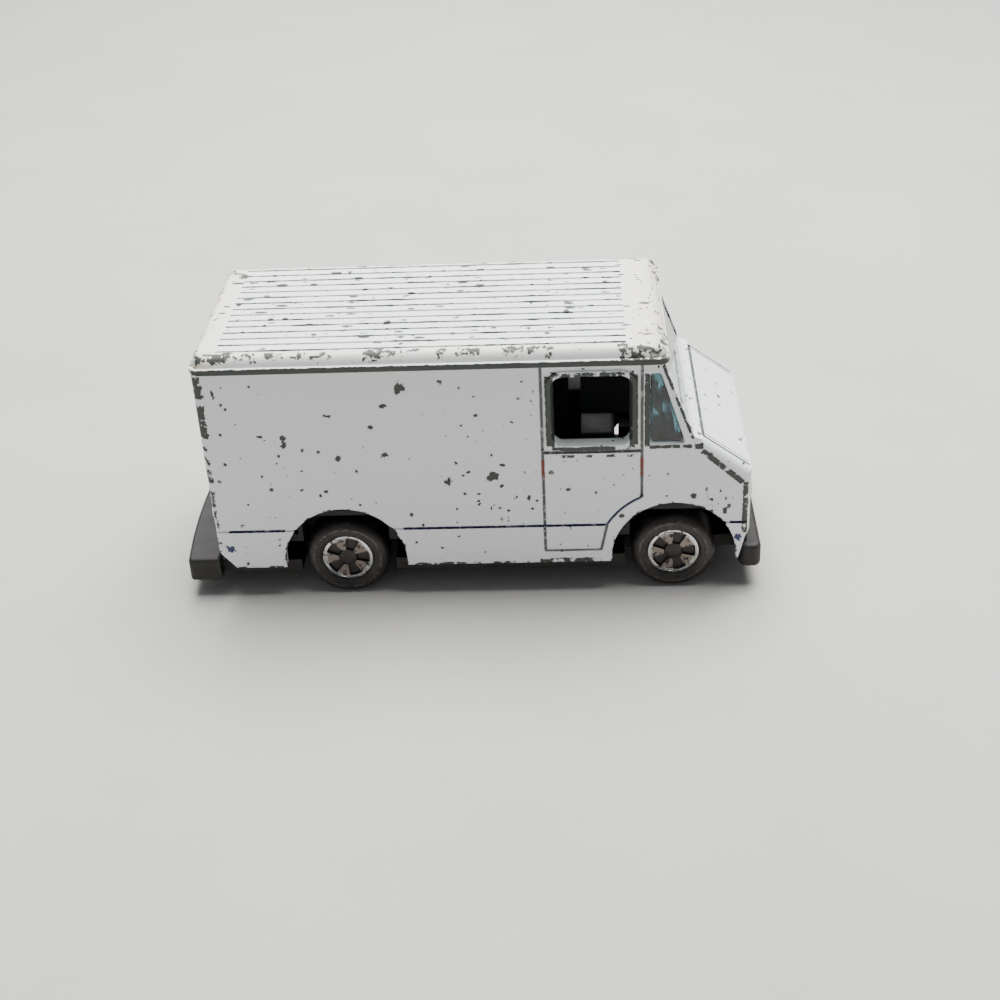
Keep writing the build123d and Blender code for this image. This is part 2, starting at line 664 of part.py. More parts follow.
def base_plate():
    """The whole moulding."""
    plates, base = base_plan()
    for plate in plates:
        base += plate
    base += cradles()
    rear_half = INNER_HALF - 0.6
    front_half = INNER_HALF - 0.3
    low = BASE_TOP_Z - 0.2
    base += box(REAR_X + 0.1, REAR_X + 0.9, -rear_half, rear_half, low, SKIRT_Z + 2.4)
    base += box(NOSE_X - 1.0, NOSE_X - 0.1, -front_half, front_half, low, SKIRT_Z + 3.1)
    base += box(REAR_X - 0.5, REAR_X + 2, -rear_half, rear_half, BASE_UNDER_Z, BASE_TOP_Z)
    base += box(NOSE_X - 1.0, NOSE_X, -front_half, front_half, BASE_UNDER_Z, BASE_TOP_Z)
    base += bumper()
    base += rear_step()
    base -= axle_slots()
    base -= base_relief()
    for x in (REAR_POST_X, FRONT_POST_X):
        base -= rod_z(x, 0, POST_DIAMETER / 2 + FIT, 0, BASE_TOP_Z + 2)
        base -= rod_z(x, 0, POST_HEAD_DIAMETER / 2 + FIT, 0, BASE_UNDER_Z + POST_CUP_DEPTH)
    return base


# --- glazing: one tinted clear moulding ---

def window_insert():
    """Windscreen, two quarter lights and the roof flange that holds them."""
    half = INNER_HALF - 0.1
    rear = DOOR_FRONT - 0.6
    foot = SILL_Z - 0.6
    top = CEILING_Z - 0.2
    shift = WALL * 1.25 + 0.12
    outline = [(rear, foot), (screen_x(foot) - shift, foot), (screen_x(top) - shift, top), (rear, top)]
    outer = prism(outline, half)
    slant = GLASS_THICK * 1.08
    hollow = [(rear - 1, foot - 1), (screen_x(foot - 1) - shift - slant, foot - 1),
              (screen_x(top - GLASS_THICK) - shift - slant, top - GLASS_THICK), (rear - 1, top - GLASS_THICK)]
    glass = outer - prism(hollow, half - GLASS_THICK)
    flange = box(rear - 3.4, rear + 0.2, -half + 2.2, half - 2.2, top - GLASS_THICK, top)
    glass += flange
    lens = extrude(screen_plane(WALL + 0.55) * screen_sketch(0.12), amount=WALL + 0.4)
    room = [(rear, foot), (NOSE_X, foot), (NOSE_X, top), (rear, top)]
    glass += lens & prism(room, HALF)
    pane = on_side(quarter_window(-PANE_GAP), WALL, HALF - 0.45, WINDOW_TAPER)
    for side in both_sides(pane):
        glass += side
    for y in (-ROOF_PIN_Y, ROOF_PIN_Y):
        glass -= rod_z(ROOF_PIN_X, y, ROOF_PIN_RADIUS + FIT, foot, ROOF_Z)
    return glass


# --- interior: one black moulding ---

def wheel_box(x, front_limit):
    """The hollow housing over one wheel: the outer block and what is taken out of it."""
    x0 = x - NECK_REACH
    x1 = min(x + NECK_REACH, front_limit)
    y0 = NECK_HALF - 0.1
    y1 = INNER_HALF - FIT
    x_end = x1 - 0.6 if x1 < front_limit else x1 + CUT
    block = box(x0, x1, y0, y1, FLOOR_UNDER_Z, WHEEL_BOX_TOP_Z)
    hollow = box(x0 + 0.6, x_end, y0 + 0.4, y1 + CUT, FLOOR_UNDER_Z - CUT, WHEEL_BOX_TOP_Z - 0.7)
    return block, hollow


def seat():
    """The driver's seat."""
    x = DOOR_REAR + 4.0
    right = SEAT_Y - SEAT_WIDTH / 2
    left = SEAT_Y + SEAT_WIDTH / 2
    pad = box(x, x + SEAT_LENGTH, right, left, SEAT_TOP_Z - 2.2, SEAT_TOP_Z)
    pad = fillet(pad.edges().group_by(Axis.Z)[-1], 0.6)
    back = box(x - 0.7, x + 0.9, right, left, SEAT_TOP_Z - 1.0, SEAT_TOP_Z + SEAT_BACK_RISE)
    back = fillet(back.edges().filter_by(Axis.X), 1.0)
    foot = box(x + 0.6, x + SEAT_LENGTH - 0.8, right + 0.8, left - 0.8, FLOOR_Z - 0.3, SEAT_TOP_Z - 2.0)
    return [pad, back, foot]


def steering():
    """The steering wheel and its column, leaning back from the dash."""
    tilt = Pos(FRONT_AXLE_X - 2.6, SEAT_Y, SEAT_TOP_Z + 4.4) * Rot(0, -STEERING_TILT, 0)
    rim = tilt * Torus(STEERING_RADIUS, 0.28)
    spoke = tilt * Box(2 * STEERING_RADIUS, 0.5, 0.4)
    column = tilt * Pos(0, 0, -2.2) * Cylinder(0.4, 4.4)
    return [rim, spoke, column]


def interior_insert():
    """Load floor, wheel boxes, bulkhead, seat, dash and steering."""
    inner = INNER_HALF - FIT
    rear = REAR_X + SHELF_DEPTH + FIT
    front = FRONT_AXLE_X + 3.6
    tub = box(rear, front, -inner, inner, FLOOR_UNDER_Z, FLOOR_Z)
    hollows = []
    for x in AXLES.values():
        block, hollow = wheel_box(x, front)
        for side in both_sides(block):
            tub += side
        hollows += both_sides(hollow)
    x = DOOR_REAR - 1.2
    wall = box(x, x + BULKHEAD_THICK, -inner, inner, FLOOR_Z - 0.2, CEILING_Z - 0.3)
    doorway = box(x - 1, x + 2, -3.4, 3.4, FLOOR_Z, LINTEL_Z - 1.5)
    tub += wall - doorway
    tub += seat()
    dash_top = SILL_Z - DASH_DROP
    outline = [
        (front - 4.0, dash_top - 0.8),
        (front - 3.4, dash_top),
        (front, dash_top),
        (front, FLOOR_Z - 0.2),
        (front - 1.0, FLOOR_Z - 0.2),
        (front - 1.0, dash_top - 5.0),
        (front - 4.0, dash_top - 4.4),
    ]
    tub += prism(outline, inner - 0.6)
    tub += steering()
    for hollow in hollows:
        tub -= hollow
    for x in AXLES.values():
        keeper_foot = AXLE_Z + AXLE_DIAMETER / 2 + AXLE_SLOT_GAP
        keeper = box(x - 0.35, x + 0.35, NECK_HALF - 2.2, NECK_HALF - 0.2, keeper_foot, FLOOR_UNDER_Z + 0.2)
        tub += both_sides(keeper)
    return tub


# --- running gear ---

def turned(profile, x, sign=1):
    """A solid of revolution about the axle line at x: profile is (radius, y) points."""
    face = make_face(Polyline(*profile, close=True))
    solid = revolve(face, Axis.Y)
    solid = Pos(x, 0, AXLE_Z) * solid
    return solid if sign > 0 else mirror(solid, Plane.XZ)


def axle(x):
    """A steel axle with a snap head at each end."""
    r = AXLE_DIAMETER / 2
    head = AXLE_HEAD_DIAMETER / 2
    end = AXLE_END_Y
    profile = [(0, 0), (r, 0), (r, end - AXLE_HEAD_LENGTH), (head, end - AXLE_HEAD_LENGTH),
               (head, end - 0.25), (r * 0.8, end), (0, end)]
    right = turned(profile, x, -1)
    return turned(profile, x, 1) + right


def wheel_solid(x, sign):
    """A black wheel: tyre, recessed hub and a blind bore with a pocket for the axle's head."""
    face = TYRE_FACE_Y
    back = WHEEL_BACK_Y
    bore = AXLE_DIAMETER / 2 + RUNNING_GAP
    pocket = AXLE_HEAD_DIAMETER / 2 + RUNNING_GAP
    end = AXLE_END_Y + RUNNING_GAP
    neck = end - AXLE_HEAD_LENGTH - 3 * RUNNING_GAP
    hub = HUB_FACE_Y
    r = WHEEL_RADIUS
    s = TYRE_SHOULDER
    outline = [(bore, back + 0.5), (2.2, back + 0.5), (3.4, back + 0.9), (r - 1.0, back)]
    outline += [(r - 0.3, back + 0.1), (r, back + 0.5), (r, face - s)]
    for step in range(1, 7):
        turn = math.radians(15 * step)
        outline.append((r - s + s * math.cos(turn), face - s + s * math.sin(turn)))
    outline += [(HUB_RING_OUTER + 0.42, face), (HUB_RING_OUTER + 0.12, face - 0.25)]
    outline += [(HUB_RING_OUTER + 0.08, face - 0.5), (HUB_RING_INNER, face - 0.5)]
    outline += [(HUB_RING_INNER - 0.1, hub), (CAP_RADIUS, hub), (CAP_RADIUS - 0.15, hub + 0.3)]
    outline += [(CAP_RADIUS * 0.5, hub + 0.42), (0, hub + 0.45)]
    outline += [(0, end), (pocket, end), (pocket, neck), (bore, neck)]
    wheel = turned(outline, x, sign)
    for spoke in spokes(x, sign, hub - 0.05, SPOKE_FACE_Y):
        wheel += spoke
    return wheel


def spokes(x, sign, y0, y1):
    """Wedge spokes between the cap and the ring, from y0 out to y1."""
    shapes = []
    half = math.radians(SPOKE_ANGLE / 2)
    r0 = CAP_RADIUS - 0.05
    r1 = HUB_RING_INNER + 0.02
    root = half * 0.72
    plane = Plane(origin=(x, y0, AXLE_Z), x_dir=(1, 0, 0), z_dir=(0, 1, 0))
    for i in range(SPOKES):
        middle = math.radians(FIRST_SPOKE + 360 / SPOKES * i)
        corners = [(r0, -root), (r1, -half), (r1 + 0.03, 0), (r1, half), (r0, root)]
        outline = []
        for radius, turn in corners:
            outline.append((radius * math.cos(middle + turn), radius * math.sin(middle + turn)))
        wedge = extrude(plane * make_face(Polyline(*outline, close=True)), amount=y1 - y0)
        shapes.append(wedge if sign > 0 else mirror(wedge, Plane.XZ))
    return shapes


def wheel_foil(x, sign):
    """The bright hot-stamped foil: a double ring and the tops of the spokes."""
    top = SPOKE_FACE_Y
    inner = HUB_RING_INNER
    outer = HUB_RING_OUTER
    profile = [(inner + 0.06, top - 0.08), (outer + 0.02, top - 0.08), (outer + 0.02, top + 0.12)]
    profile += [(outer - 0.14, top + 0.16), (outer - 0.2, top + 0.02), (inner + 0.16, top + 0.02)]
    profile.append((inner + 0.06, top + FOIL_THICK))
    foil = turned(profile, x, sign)
    for spoke in spokes(x, sign, top, top + FOIL_THICK):
        foil += spoke
    return foil


# --- rear doors ---

def rear_door(sign):
    """One leaf with its hinge barrel and pins, two window panes and a handle."""
    x, y = hinge_point(sign)
    z0 = DOORWAY_SILL_Z + LEAF_GAP
    z1 = DOORWAY_TOP_Z - LEAF_GAP
    back = x - LEAF_THICK / 2
    front = x + LEAF_THICK / 2
    hy = abs(y)
    leaf = box(back, front, LEAF_GAP / 2, hy, z0, z1)
    barrel = rod_z(x, hy, LEAF_THICK / 2, z0, z1)
    pin = rod_z(x, hy, PIN_DIAMETER / 2, z0 - PIN_LENGTH, z1 + PIN_LENGTH)
    leaf += [barrel, pin]
    edge = LEAF_GAP / 2
    high = z1 - 1.6
    sill = high - PANE_HEIGHT
    light = box(back - CUT, back + PANE_DEPTH, edge + PANE_MARGIN, hy - PANE_MARGIN, sill, high)
    leaf -= fillet(light.edges().filter_by(Axis.X), 0.7)
    panel = box(back - CUT, back + PANEL_DEPTH, edge + PANEL_MARGIN, hy - PANEL_MARGIN, z0 + 1.4, sill - 1.8)
    leaf -= fillet(panel.edges().filter_by(Axis.X), 0.5)
    handle = box(back - HANDLE_PROUD, back + 0.2, edge + 0.5, edge + 1.0, sill - 4.6, sill - 2.2)
    leaf += fillet(handle.edges().group_by(Axis.X)[0], 0.2)
    for z in (z0 + 3.0, z1 - 3.0):
        leaf += box(back - STRAP_PROUD, back + 0.2, hy - 2.8, hy - 0.9, z - 0.45, z + 0.45)
    return leaf if sign > 0 else mirror(leaf, Plane.XZ)


# --- build ---

def all_nodes():
    """Every node's name and solid."""
    nodes = {
        "body_shell": body_shell(),
        "base_plate": base_plate(),
        "window_insert": window_insert(),
        "interior_insert": interior_insert(),
    }
    for end, x in AXLES.items():
        nodes[f"{end}_axle"] = axle(x)
        for side, sign in SIDES.items():
            nodes[f"wheel_{end}_{side}"] = wheel_solid(x, sign)
            nodes[f"wheel_foil_{end}_{side}"] = wheel_foil(x, sign)
    for side, sign in SIDES.items():
        nodes[f"rear_door_{side}"] = rear_door(sign)
    return nodes


os.makedirs("parts", exist_ok=True)
for name, solid in all_nodes().items():
    export_step(solid, f"parts/{name}.step")
    box_size = solid.bounding_box().size
    print(f"{name}: {box_size.X:.2f} x {box_size.Y:.2f} x {box_size.Z:.2f}")
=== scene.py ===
import logging
import math
from dataclasses import dataclass, field
from enum import Enum

import bpy
from mathutils import Matrix, Vector


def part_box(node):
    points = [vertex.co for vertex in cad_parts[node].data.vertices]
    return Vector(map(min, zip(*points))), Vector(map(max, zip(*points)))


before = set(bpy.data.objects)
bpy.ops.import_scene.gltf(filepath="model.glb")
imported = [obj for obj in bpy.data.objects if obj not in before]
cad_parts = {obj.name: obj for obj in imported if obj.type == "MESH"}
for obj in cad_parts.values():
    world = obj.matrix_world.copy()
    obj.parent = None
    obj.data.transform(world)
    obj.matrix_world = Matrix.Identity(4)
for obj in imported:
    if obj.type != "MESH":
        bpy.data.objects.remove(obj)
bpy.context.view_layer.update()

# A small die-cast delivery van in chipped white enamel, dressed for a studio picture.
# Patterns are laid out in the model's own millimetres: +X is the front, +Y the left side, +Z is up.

MM = 0.001
MM_PER_METRE = 1000.0
LOG = logging.getLogger("van")

Pair = tuple[float, float]
Triple = tuple[float, float, float]
Socket = bpy.types.NodeSocket


def linear(code: str) -> tuple[float, float, float, float]:
    """Turn an sRGB hex colour into a linear one.

    Args:
        code: six hex digits after a #.

    Returns:
        Linear red, green and blue, and an alpha of one.
    """
    channels = [int(code[i:i + 2], 16) / 255 for i in (1, 3, 5)]
    red, green, blue = (c / 12.92 if c <= 0.04045 else ((c + 0.055) / 1.055) ** 2.4 for c in channels)
    return red, green, blue, 1.0


def add_node(tree: bpy.types.NodeTree, kind: str, links: dict | None = None, out: int | str = 0,
             **settings) -> Socket:
    """Add one shader node with its settings and links.

    Args:
        tree: the node tree that gets it.
        kind: the node's type, without its ShaderNode prefix.
        links: what feeds each input, a socket or a plain value, by index or name.
        out: which of its outputs is wanted.
        settings: the node's own options.

    Returns:
        The wanted output socket.
    """
    node = tree.nodes.new("ShaderNode" + kind)
    for option, value in settings.items():
        setattr(node, option, value)
    for key, source in (links or {}).items():
        if isinstance(source, Socket):
            tree.links.new(source, node.inputs[key])
        else:
            node.inputs[key].default_value = source
    return node.outputs[out] if len(node.outputs) else None


def mm_box(node: str) -> tuple[Vector, Vector]:
    """A CAD node's lowest and highest corners at rest, in millimetres."""
    low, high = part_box(node)
    return Vector(low) * MM_PER_METRE, Vector(high) * MM_PER_METRE


@dataclass(frozen=True)
class Zone:
    """A block of the surface, in millimetres, in which a pattern is stronger.

    The amount holds inside the block and fades to nothing over the soft distance around it.
    A turn, in degrees about Y at the block's middle, lays it along a sloping edge.
    """

    x: Pair
    y: Pair
    z: Pair
    amount: float = 1.0
    soft: float = 0.25
    turn: float = 0.0

    @classmethod
    def along(cls, start: Pair, end: Pair, y: Pair, half: float, amount: float, soft: float = 0.2) -> "Zone":
        """A block along a sloping line in side view.

        Args:
            start: the line's (x, z) start.
            end: its (x, z) end.
            y: how far it reaches across the van.
            half: half its thickness.
            amount: its strength.
            soft: its fade.

        Returns:
            The turned block.
        """
        middle = ((start[0] + end[0]) / 2, (start[1] + end[1]) / 2)
        reach = math.dist(start, end) / 2
        slope = math.degrees(math.atan2(end[1] - start[1], end[0] - start[0]))
        return cls((middle[0] - reach, middle[0] + reach), y, (middle[1] - half, middle[1] + half),
                   amount, soft, slope)


@dataclass(frozen=True)
class Spot:
    """A worn spot, in millimetres: strongest in its middle, gone a little beyond its rim."""

    middle: Triple
    half: Triple
    amount: float = 0.62


class Surface:
    """One material in the making: its node tree and its coordinates in millimetres."""

    def __init__(self, name: str) -> None:
        """Start an empty material of the given name."""
        self.material = bpy.data.materials.new(name)
        self.material.use_nodes = True
        self.tree = self.material.node_tree
        self.tree.nodes.clear()
        place = self.add("TexCoord", out="Object")
        self.mm = self.add("Mapping", {"Vector": place, "Scale": (MM_PER_METRE,) * 3})

    def add(self, kind: str, links: dict | None = None, out: int | str = 0, **settings) -> Socket:
        """Add a node to this material; see add_node."""
        return add_node(self.tree, kind, links, out, **settings)

    def mirrored(self) -> Socket:
        """Coordinates whose y counts from the centre plane, so that both sides are worn alike.

        Returns:
            The paired coordinates.
        """
        parts = self.add("SeparateXYZ", {0: self.mm}).node.outputs
        across = self.add("Math", {0: parts[1]}, operation="ABSOLUTE")
        return self.add("CombineXYZ", {0: parts[0], 1: across, 2: parts[2]})

    def warped(self, place: Socket, size: float, reach: float) -> Socket:
        """Coordinates pushed about by a noise, which gives a pattern torn outlines.

        Args:
            place: the coordinates to disturb.
            size: how large the noise's swirls are, in millimetres.
            reach: how far it pushes, in millimetres.

        Returns:
            The disturbed coordinates.
        """
        swirl = self.add("TexNoise", {"Vector": self.mm, "Scale": 1 / size, "Detail": 3.0}, out="Color")
        centred = self.add("VectorMath", {0: swirl, 1: (0.5, 0.5, 0.5)}, operation="SUBTRACT")
        push = self.add("VectorMath", {0: centred, "Scale": 2 * reach}, operation="SCALE")
        return self.add("VectorMath", {0: place, 1: push}, operation="ADD")

    def cut(self, value: Socket, level: float, blur: float, high: float = 1.0) -> Socket:
        """Turn a value into a mask that rises from nothing to high about a level."""
        return self.add("MapRange", {0: value, 1: level - blur, 2: level + blur, 3: 0.0, 4: high},
                        interpolation_type="SMOOTHSTEP")

    def patches(self, size: float, level: float, blur: float, stretch: Triple = (1, 1, 1),
                seed: float = 0.0) -> Socket:
        """Torn patches where a fractal noise passes a level.

        Args:
            size: the noise's main feature size in millimetres.
            level: the noise level that a patch starts at.
            blur: half the level's span over which its edge fades.
            stretch: scale of the coordinates along each axis.
            seed: shifts the pattern.

        Returns:
            The patches' mask.
        """
        place = self.add("Mapping", {"Vector": self.mm, "Location": (seed,) * 3, "Scale": stretch})
        value = self.add("TexNoise", {"Vector": place, "Scale": 1 / size, "Detail": 6.0, "Roughness": 0.6})
        return self.cut(value, level, blur)

    def flecks(self, place: Socket, cell: float, reach: float, share: float, blur: float = 0.05) -> Socket:
        """Scattered flecks, at most one to a cell and each of its own size.

        Args:
            place: the coordinates, disturbed if the flecks are ragged.
            cell: their spacing in millimetres.
            reach: the largest fleck's radius as a share of the cell.
            share: the share of cells that have none.
            blur: how soft their edges are, as a share of the cell.

        Returns:
            The flecks' mask.
        """
        spots = self.add("TexVoronoi", {"Vector": place, "Scale": 1 / cell}).node.outputs
        luck = self.add("SeparateXYZ", {0: spots["Color"]})
        radius = self.add("MapRange", {0: luck, 1: share, 2: 1.0, 3: -0.1, 4: reach})
        depth = self.add("Math", {0: radius, 1: spots["Distance"]}, operation="SUBTRACT")
        return self.cut(depth, blur, blur)

    def near(self, zones: tuple[Zone, ...], place: Socket) -> Socket:
        """How strongly a set of zones holds at each point.

        Args:
            zones: the blocks to measure to.
            place: the coordinates to measure in.

        Returns:
            The largest of the zones' amounts there.
        """
        total: Socket | float = 0.0
        for zone in zones:
            spans = (zone.x, zone.y, zone.z)
            middle = tuple((low + high) / 2 for low, high in spans)
            half = tuple((high - low) / 2 for low, high in spans)
            # a Mapping node for each block would leave the shader too big for Cycles to compile
            offset = self.add("VectorMath", {0: place, 1: middle}, operation="SUBTRACT")
            if zone.turn:
                offset = self.add("VectorRotate", {"Vector": offset, "Angle": math.radians(zone.turn)},
                                  rotation_type="Y_AXIS")
            outside = self.add("VectorMath", {0: offset}, operation="ABSOLUTE")
            outside = self.add("VectorMath", {0: outside, 1: half}, operation="SUBTRACT")
            outside = self.add("VectorMath", {0: outside, 1: (0, 0, 0)}, operation="MAXIMUM")
            distance = self.add("VectorMath", {0: outside}, out="Value", operation="LENGTH")
            amount = self.add("MapRange", {0: distance, 1: 0.0, 2: zone.soft, 3: zone.amount, 4: 0.0})
            total = self.add("Math", {0: amount, 1: total}, operation="MAXIMUM")
        return total

    def spots(self, spots: tuple[Spot, ...], place: Socket) -> Socket:
        """How strongly a set of spots holds at each point.

        Args:
            spots: the spots to measure to.
            place: the coordinates to measure in, disturbed if the spots are ragged.

        Returns:
            The largest of the spots' amounts there.
        """
        total: Socket | float = 0.0
        for spot in spots:
            offset = self.add("VectorMath", {0: place, 1: spot.middle}, operation="SUBTRACT")
            shares = self.add("VectorMath", {0: offset, 1: spot.half}, operation="DIVIDE")
            radius = self.add("VectorMath", {0: shares}, out="Value", operation="LENGTH")
            amount = self.add("MapRange", {0: radius, 1: 0.3, 2: 1.5, 3: spot.amount, 4: 0.0})
            total = self.add("Math", {0: amount, 1: total}, operation="MAXIMUM")
        return total

    def from_axle(self, place: Socket) -> Socket:
        """Distance from the nearer axle's middle, in side view, for both ends of the van at once.

        Args:
            place: the coordinates to measure in.

        Returns:
            The distance in millimetres.
        """
        front, rear = (sum(mm_box(f"{end}_axle"), Vector()) / 2 for end in ("front", "rear"))
        parts = self.add("SeparateXYZ", {0: place}).node.outputs
        along = self.blend("SUBTRACT", parts[0], (front.x + rear.x) / 2)
        folded = self.add("Math", {0: along}, operation="ABSOLUTE")
        across = self.blend("SUBTRACT", folded, (front.x - rear.x) / 2)
        up = self.blend("SUBTRACT", parts[2], front.z)
        flat = self.add("CombineXYZ", {0: across, 1: up})
        return self.add("VectorMath", {0: flat}, out="Value", operation="LENGTH")

    def band(self, distance: Socket, radius: float, half: float, soft: float) -> Socket:
        """A band about a radius that fades out on both sides.

        Args:
            distance: the distance from the axle.
            radius: the band's middle.
            half: half its full-strength width.
            soft: the width it fades over.

        Returns:
            The band's mask.
        """
        off = self.add("Math", {0: self.blend("SUBTRACT", distance, radius)}, operation="ABSOLUTE")
        return self.add("MapRange", {0: off, 1: half, 2: half + soft, 3: 1.0, 4: 0.0})

    def blend(self, operation: str, *values: Socket | float) -> Socket:
        """Run several values through one Math operation, from left to right."""
        total = values[0]
        for value in values[1:]:
            total = self.add("Math", {0: total, 1: value}, operation=operation)
        return total

    def layered(self, base: str, layers: list[tuple[str, Socket]]) -> Socket:
        """Lay colours over a base colour.

        Args:
            base: the hex colour underneath.
            layers: each further hex colour with the mask that shows it.

        Returns:
            The colour.
        """
        colour: Socket | tuple = linear(base)
        for code, mask in layers:
            colour = self.add("Mix", {0: mask, 6: colour, 7: linear(code)}, out=2, data_type="RGBA")
        return colour

    def spread(self, mask: Socket, low: float, high: float) -> Socket:
        """Turn a mask into a value that runs from low to high with it."""
        return self.add("MapRange", {0: mask, 3: low, 4: high})

    def shade(self, inputs: dict, height: Socket | None = None, depth: float = 0.05) -> bpy.types.Material:
        """Finish the material.

        Args:
            inputs: the shader's inputs by name, sockets or values.
            height: relief from zero to one, if it has any.
            depth: the relief's depth in millimetres.

        Returns:
            The finished material.
        """
        links = dict(inputs)
        if height is not None:
            links["Normal"] = self.add("Bump", {"Strength": 1.0, "Distance": depth * MM, "Height": height})
        shader = self.add("BsdfPrincipled", links)
        self.add("OutputMaterial", {"Surface": shader})
        return self.material


# --- where the enamel has worn, in millimetres ---

SKIN: Pair = (13.0, 14.0)               # either side's outer skin, down to the floors of its grooves
REVEAL: Pair = (12.3, 13.95)            # from the inner face out past the skin
RAIL: Pair = (13.9, 14.4)
SHOULDER: Pair = (33.9, 34.9)
SHOULDER_Y: Pair = (12.75, 13.45)
SIDE_MIDDLE_Y = -13.75                  # the right side's skin
ROOF_MIDDLE_Z = 34.85                   # the roof's skin
TORN_LEVEL = 0.95                       # noise and wear together pass this where a finish has gone
ARC_RADIUS = 9.75                       # the curved groove about the front wheel
ARCH_RADIUS = 7.88
ROOF_GROOVES = 15
ROOF_GROOVE_SPAN = 24.1                 # from the first groove to the last

# start, end and strength of each worn stretch along the roof's rounded long edges
SHOULDER_CHIPS = (
    (-31.6, -27.3, 0.50), (-27.0, -24.3, 0.40), (-23.0, -21.0, 0.43), (-20.2, -18.7, 0.40),
    (-17.8, -15.2, 0.41), (-11.0, -9.1, 0.51), (-9.0, -7.4, 0.42), (-6.5, -4.5, 0.42),
    (-2.3, -1.2, 0.43), (-0.2, 2.7, 0.43), (5.5, 9.9, 0.45),
    (10.3, 11.3, 0.44), (14.3, 15.1, 0.40), (19.2, 22.4, 0.46),
)

# ragged wear along edges
EDGE_WEAR = (
    Zone((19.5, 25.4), (12.6, 14.3), (33.2, 34.7), 0.46, 0.7),
    Zone((-32.2, -31.2), SKIN, (29.4, 32.4), 0.52, 0.5),
    Zone((-32.3, -31.3), SKIN, (24.0, 28.3), 0.52, 0.5),
    Zone((-32.3, -31.7), SKIN, (8.0, 24.0), 0.42, 0.4),
    Zone((-32.3, -31.4), SKIN, (17.6, 19.4), 0.48, 0.5),
    Zone((30.2, 33.4), SKIN, (11.2, 15.2), 0.36, 0.9),
    Zone((-32.9, -31.0), (11.4, 14.2), (33.4, 35.0), 0.42, 0.7),
    Zone((-32.4, -31.4), (0.0, 12.0), (33.9, 34.9), 0.36, 0.6),
    Zone((24.0, 25.3), (7.0, 12.5), (32.9, 34.6), 0.40, 0.8),
    Zone((24.2, 25.3), (0.0, 8.0), (33.0, 34.4), 0.33, 0.7),
    Zone((35.3, 35.9), (0.0, 12.6), (16.8, 17.8), 0.36, 0.5),
    Zone((28.7, 29.5), (0.0, 13.0), (22.0, 23.0), 0.35, 0.4),
)

# rubbed bands that run on almost unbroken: drip rail, window beads, hood shoulder, screen pillar, sill
BEADS = (
    Zone((-32.9, 25.0), RAIL, (32.4, 33.42), 0.64, 0.12),
    Zone((-33.2, -32.3), (0.0, 14.4), (32.4, 33.35), 0.58, 0.14),
    Zone((24.2, 25.4), (12.0, 14.4), (32.6, 33.3), 0.50, 0.25),
    Zone((10.4, 11.35), REVEAL, (21.6, 31.2), 0.62, 0.14),
    Zone((20.6, 21.55), REVEAL, (21.6, 31.2), 0.60, 0.14),
    Zone((11.1, 18.6), SKIN, (21.0, 21.5), 0.60, 0.16),
    Zone((18.6, 21.2), SKIN, (21.0, 21.5), 0.48, 0.14),
    Zone((11.0, 21.0), SKIN, (31.2, 31.7), 0.48, 0.18),
    Zone((22.4, 23.02), SKIN, (21.4, 31.4), 0.60, 0.12),
    Zone((23.0, 28.2), SKIN, (21.1, 21.55), 0.52, 0.14),
    Zone.along((29.5, 20.6), (34.6, 16.0), (12.9, 13.9), 0.34, 0.53, 0.24),
    Zone((34.7, 35.3), (12.7, 13.9), (8.6, 16.0), 0.53, 0.24),
    Zone((28.5, 29.6), SKIN, (20.9, 21.6), 0.55, 0.2),
    Zone.along((28.3, 22.4), (24.6, 32.4), SKIN, 0.16, 0.52, 0.12),
    Zone((10.2, 21.9), SKIN, (20.05, 20.42), 0.40, 0.15),
    Zone((-7.8, 17.0), SKIN, (4.4, 4.85), 0.43, 0.2),
    Zone((9.2, 16.2), SKIN, (4.4, 5.2), 0.50, 0.3),
    Zone((-30.0, -23.8), SKIN, (4.4, 4.8), 0.43, 0.2),
)

# grooves darkened with dirt and painted shade: hood outline, cowl, then door, ledge and step lines; the
# ledge line is painted shadow along the ledge under the window
SHADED_DIRTY_GROOVES = (
    Zone.along((29.6, 22.2), (35.5, 17.75), (12.38, 12.72), 0.5, 1.0, 0.08),
    Zone.along((29.8, 22.2), (35.3, 17.9), (11.72, 11.88), 0.5, 0.80, 0.08),
    Zone((29.5, 29.8), (0.0, 12.5), (21.7, 22.5), 0.95, 0.12),
    Zone((9.72, 10.02), SKIN, (6.4, 32.6), 0.95, 0.08),
    Zone((21.93, 22.23), SKIN, (14.1, 32.6), 0.95, 0.08),
    Zone((10.0, 22.0), SKIN, (20.62, 20.85), 0.90, 0.08),
    Zone((9.9, 17.0), SKIN, (6.28, 6.52), 0.90, 0.08),
    Zone.along((17.0, 6.4), (17.75, 10.1), SKIN, 0.13, 0.90, 0.08),
)
BLUE_LINES = (
    Zone((-30.6, -23.4), SKIN, (9.98, 10.32), 1.0, 0.06),
    Zone((-8.1, 17.7), SKIN, (9.98, 10.32), 1.0, 0.06),
    Zone((33.2, 34.8), (12.6, 13.9), (9.98, 10.32), 1.0, 0.06),
)
BLUE_ARC = Zone((16.0, 22.3), SKIN, (10.2, 13.9), 1.0, 0.1)
RED_MARKS = (
    Zone((9.68, 10.06), SKIN, (17.2, 19.7), 1.0, 0.08),
    Zone((21.9, 22.26), SKIN, (17.2, 19.7), 1.0, 0.08),
)
BLUE_SPOTS = (
    Spot((-30.6, 13.7, 7.6), (0.75, 1.6, 0.65), 0.72),
    Spot((34.2, 13.3, 7.9), (0.6, 1.8, 0.75), 0.72),
)

